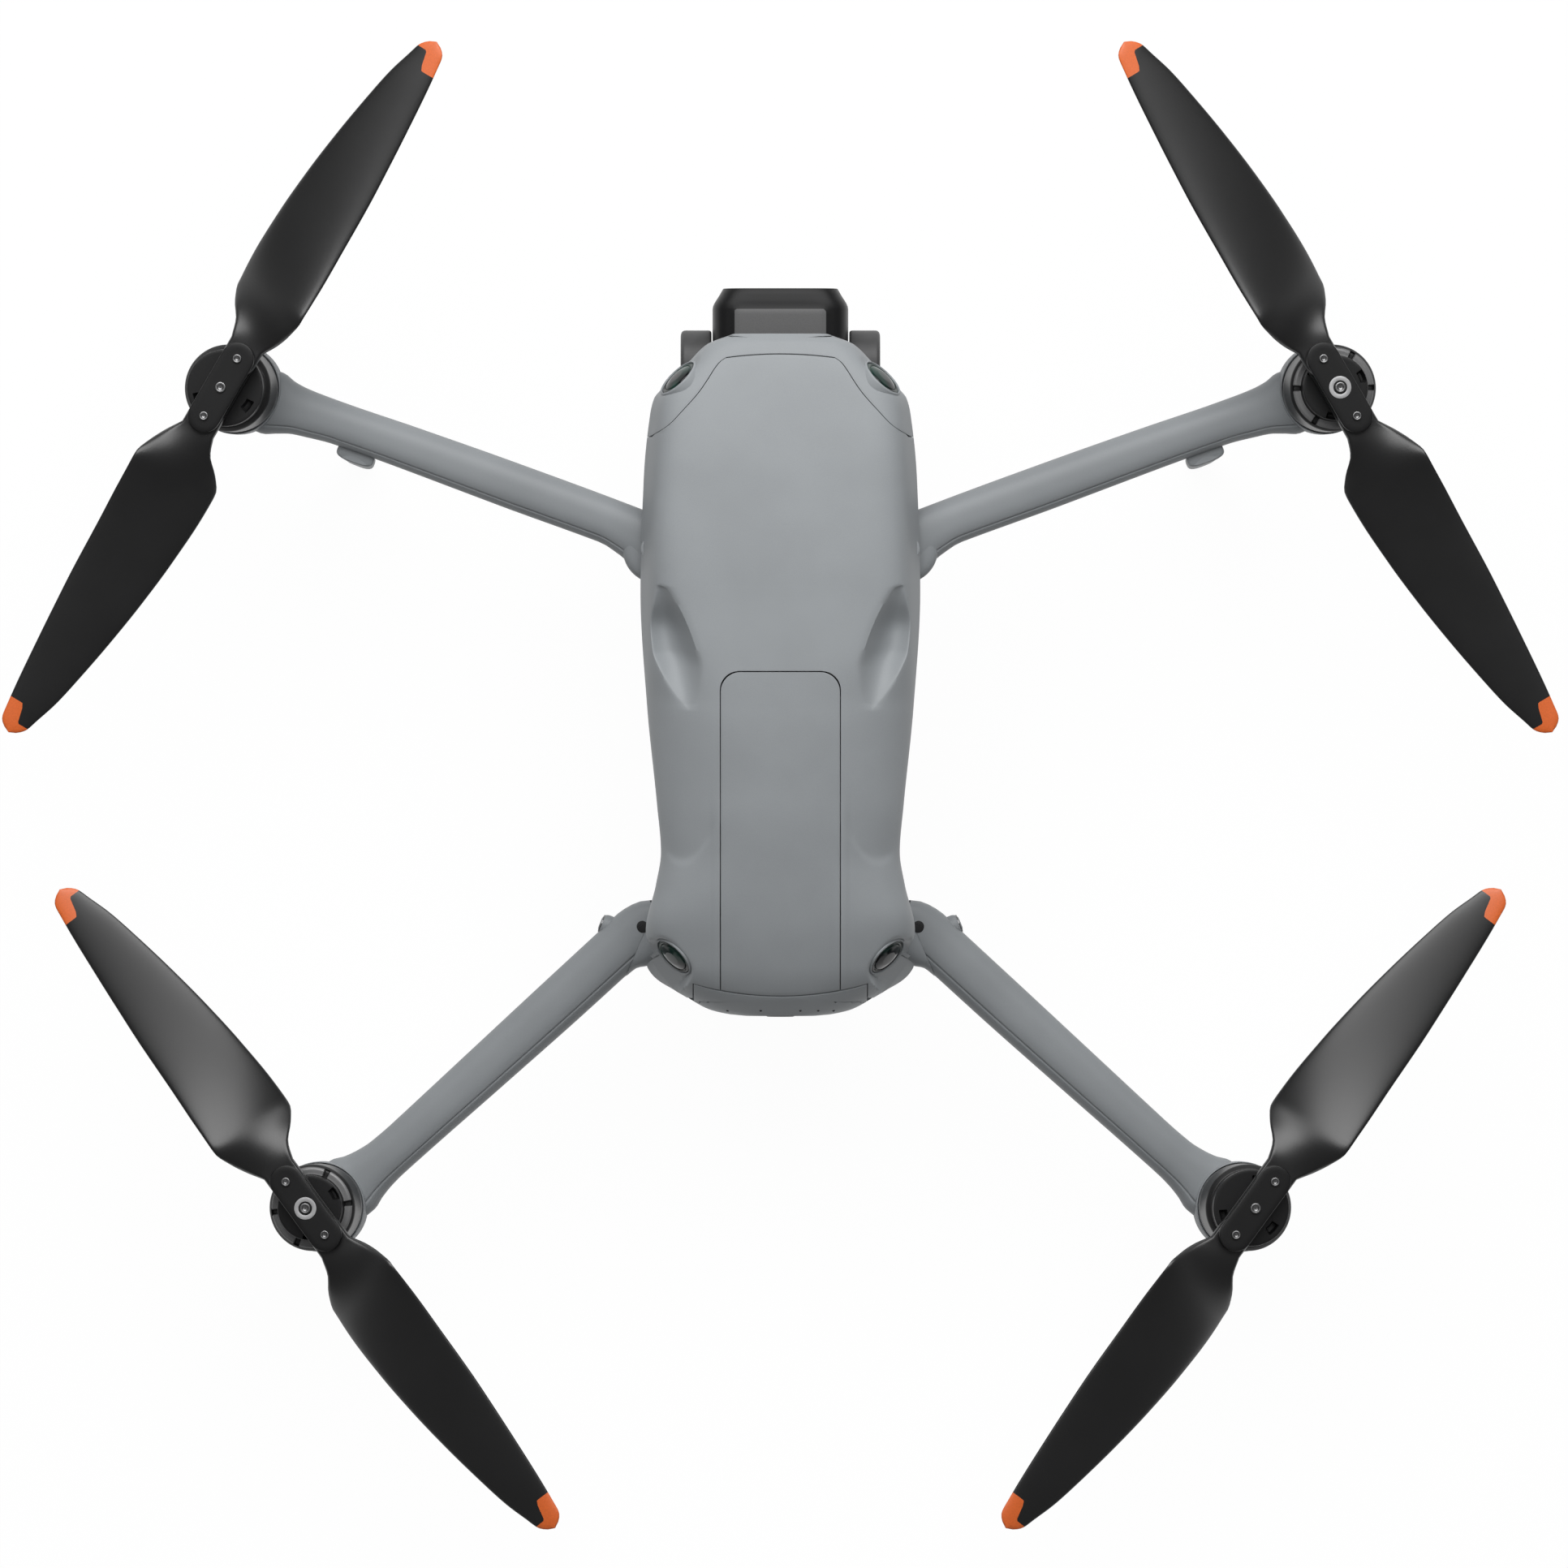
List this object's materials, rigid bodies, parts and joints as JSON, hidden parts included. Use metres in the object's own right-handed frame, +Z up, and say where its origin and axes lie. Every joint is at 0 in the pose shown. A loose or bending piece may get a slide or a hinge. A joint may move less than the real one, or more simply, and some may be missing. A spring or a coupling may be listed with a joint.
{
  "type": "quadcopter drone",
  "caption": "Folding camera quadcopter with canted rotors, hinged blades, a stabilised camera under the nose and a slide-out battery.",
  "frame": {"origin": "on the ground under the middle of the box round the unfolded object", "axes": "+X to the right, +Y forward, +Z up"},
  "size_m": [0.4282, 0.4105, 0.105],
  "materials": {
    "shell_grey": "fine moulded grain",
    "battery_grey": "fine moulded grain",
    "trim_grey": "satin",
    "dark_plastic": "satin",
    "lens_glass": "polished, coated",
    "steel_pin": "turned",
    "rubber_foot": "matt",
    "board": "solder mask",
    "aluminium": "satin",
    "motor_black": "satin black anodised",
    "propeller_black": "satin moulded, orange tips in the scene",
    "cell_wrap": "film wrap"
  },
  "bodies": {
    "airframe": {"upper_shell": "shell_grey", "lower_shell": "shell_grey", "front_trim": "trim_grey", "mainboard": "board", "heat_sink": "aluminium", "fan_frame": "dark_plastic", "belly_sensor_panel": "lens_glass", "front_left_vision_sensor": "lens_glass", "front_right_vision_sensor": "lens_glass", "rear_left_vision_sensor": "lens_glass", "rear_right_vision_sensor": "lens_glass", "front_left_hinge_pin": "steel_pin", "front_right_hinge_pin": "steel_pin", "rear_left_hinge_pin": "steel_pin", "rear_right_hinge_pin": "steel_pin", "gimbal_damper_plate": "dark_plastic", "rear_left_foot": "rubber_foot", "rear_right_foot": "rubber_foot"},
    "fan": {"fan_rotor": "dark_plastic"},
    "battery": {"battery_case": "battery_grey", "battery_cells": "cell_wrap"},
    "power_button": {"power_button": "dark_plastic"},
    "left_buckle": {"battery_buckle_left": "dark_plastic"},
    "right_buckle": {"battery_buckle_right": "dark_plastic"},
    "gimbal_yaw": {"gimbal_yaw_arm": "dark_plastic"},
    "gimbal_roll": {"gimbal_roll_yoke": "dark_plastic"},
    "camera": {"camera_housing": "dark_plastic", "wide_lens": "lens_glass", "tele_lens": "lens_glass"},
    "front_left_arm": {"front_left_arm": "shell_grey", "front_left_motor_stator": "aluminium", "front_left_landing_leg": "shell_grey"},
    "front_left_rotor": {"front_left_motor_bell": "motor_black", "front_left_propeller_hub": "propeller_black"},
    "front_left_blade_a": {"front_left_blade_a": "propeller_black"},
    "front_left_blade_b": {"front_left_blade_b": "propeller_black"},
    "rear_left_arm": {"rear_left_arm": "shell_grey", "rear_left_motor_stator": "aluminium"},
    "rear_left_rotor": {"rear_left_motor_bell": "motor_black", "rear_left_propeller_hub": "propeller_black"},
    "rear_left_blade_a": {"rear_left_blade_a": "propeller_black"},
    "rear_left_blade_b": {"rear_left_blade_b": "propeller_black"},
    "front_right_arm": {"front_right_arm": "shell_grey", "front_right_motor_stator": "aluminium", "front_right_landing_leg": "shell_grey"},
    "front_right_rotor": {"front_right_motor_bell": "motor_black", "front_right_propeller_hub": "propeller_black"},
    "front_right_blade_a": {"front_right_blade_a": "propeller_black"},
    "front_right_blade_b": {"front_right_blade_b": "propeller_black"},
    "rear_right_arm": {"rear_right_arm": "shell_grey", "rear_right_motor_stator": "aluminium"},
    "rear_right_rotor": {"rear_right_motor_bell": "motor_black", "rear_right_propeller_hub": "propeller_black"},
    "rear_right_blade_a": {"rear_right_blade_a": "propeller_black"},
    "rear_right_blade_b": {"rear_right_blade_b": "propeller_black"}
  },
  "joints": [
    {"name": "front_left_arm_fold", "type": "hinge", "parent": "airframe", "child": "front_left_arm", "pos_m": [-0.0335, 0.0648, 0.07662], "axis": [-0.1392, 0, 0.9903], "range_deg": [0, 104]},
    {"name": "front_left_rotor_spin", "type": "hinge", "parent": "front_left_arm", "child": "front_left_rotor", "pos_m": [-0.1501, 0.109, 0.0668], "axis": [-0.1392, 0, 0.9903], "continuous": true},
    {"name": "front_left_blade_a_fold", "type": "hinge", "parent": "front_left_rotor", "child": "front_left_blade_a", "pos_m": [-0.14849, 0.11683, 0.08864], "axis": [-0.1392, 0, 0.9903], "range_deg": [-90, 90]},
    {"name": "front_left_blade_b_fold", "type": "hinge", "parent": "front_left_rotor", "child": "front_left_blade_b", "pos_m": [-0.15767, 0.10117, 0.08735], "axis": [0.1392, 0, -0.9903], "range_deg": [-90, 90]},
    {"name": "rear_left_arm_fold", "type": "hinge", "parent": "airframe", "child": "rear_left_arm", "pos_m": [-0.044, -0.0405, 0.04716], "axis": [0.9238, -0.3829, 0], "range_deg": [0, 173]},
    {"name": "rear_left_rotor_spin", "type": "hinge", "parent": "rear_left_arm", "child": "rear_left_rotor", "pos_m": [-0.1274, -0.1167, 0.042], "axis": [-0.1392, 0, 0.9903], "continuous": true},
    {"name": "rear_left_blade_a_fold", "type": "hinge", "parent": "rear_left_rotor", "child": "rear_left_blade_a", "pos_m": [-0.13576, -0.1094, 0.06243], "axis": [-0.1392, 0, 0.9903], "range_deg": [-90, 90]},
    {"name": "rear_left_blade_b_fold", "type": "hinge", "parent": "rear_left_rotor", "child": "rear_left_blade_b", "pos_m": [-0.125, -0.124, 0.06395], "axis": [0.1392, 0, -0.9903], "range_deg": [-90, 90]},
    {"name": "front_right_arm_fold", "type": "hinge", "parent": "airframe", "child": "front_right_arm", "pos_m": [0.0335, 0.0648, 0.07662], "axis": [-0.1392, 0, -0.9903], "range_deg": [0, 104]},
    {"name": "front_right_rotor_spin", "type": "hinge", "parent": "front_right_arm", "child": "front_right_rotor", "pos_m": [0.1501, 0.109, 0.0668], "axis": [-0.1392, 0, -0.9903], "continuous": true},
    {"name": "front_right_blade_a_fold", "type": "hinge", "parent": "front_right_rotor", "child": "front_right_blade_a", "pos_m": [0.14849, 0.11683, 0.08864], "axis": [-0.1392, 0, -0.9903], "range_deg": [-90, 90]},
    {"name": "front_right_blade_b_fold", "type": "hinge", "parent": "front_right_rotor", "child": "front_right_blade_b", "pos_m": [0.15767, 0.10117, 0.08735], "axis": [0.1392, 0, 0.9903], "range_deg": [-90, 90]},
    {"name": "rear_right_arm_fold", "type": "hinge", "parent": "airframe", "child": "rear_right_arm", "pos_m": [0.044, -0.0405, 0.04716], "axis": [0.9238, 0.3829, 0], "range_deg": [0, 173]},
    {"name": "rear_right_rotor_spin", "type": "hinge", "parent": "rear_right_arm", "child": "rear_right_rotor", "pos_m": [0.1274, -0.1167, 0.042], "axis": [-0.1392, 0, -0.9903], "continuous": true},
    {"name": "rear_right_blade_a_fold", "type": "hinge", "parent": "rear_right_rotor", "child": "rear_right_blade_a", "pos_m": [0.13576, -0.1094, 0.06243], "axis": [-0.1392, 0, -0.9903], "range_deg": [-90, 90]},
    {"name": "rear_right_blade_b_fold", "type": "hinge", "parent": "rear_right_rotor", "child": "rear_right_blade_b", "pos_m": [0.125, -0.124, 0.06395], "axis": [0.1392, 0, 0.9903], "range_deg": [-90, 90]},
    {"name": "gimbal_yaw_turn", "type": "hinge", "parent": "airframe", "child": "gimbal_yaw", "pos_m": [0, 0.091, 0.058], "axis": [0, 0, 1], "range_deg": [-27, 27]},
    {"name": "gimbal_roll_turn", "type": "hinge", "parent": "gimbal_yaw", "child": "gimbal_roll", "pos_m": [0, 0.091, 0.058], "axis": [0, 1, 0], "range_deg": [-45, 45]},
    {"name": "camera_tilt", "type": "hinge", "parent": "gimbal_roll", "child": "camera", "pos_m": [0, 0.1155, 0.058], "axis": [1, 0, 0], "range_deg": [-90, 60]},
    {"name": "battery_slide", "type": "slide", "parent": "airframe", "child": "battery", "axis": [0, -1, 0], "range_m": [0, 0.095]},
    {"name": "power_button_press", "type": "slide", "parent": "battery", "child": "power_button", "axis": [0, 1, 0], "range_m": [0, 0.001], "stiffness_N_per_m": 800},
    {"name": "left_buckle_squeeze", "type": "slide", "parent": "battery", "child": "left_buckle", "axis": [1, 0, 0], "range_m": [0, 0.0015], "stiffness_N_per_m": 800},
    {"name": "right_buckle_squeeze", "type": "slide", "parent": "battery", "child": "right_buckle", "axis": [-1, 0, 0], "range_m": [0, 0.0015], "stiffness_N_per_m": 800},
    {"name": "fan_spin", "type": "hinge", "parent": "airframe", "child": "fan", "pos_m": [0, 0.029, 0.035], "axis": [0, 0, 1], "continuous": true}
  ]
}
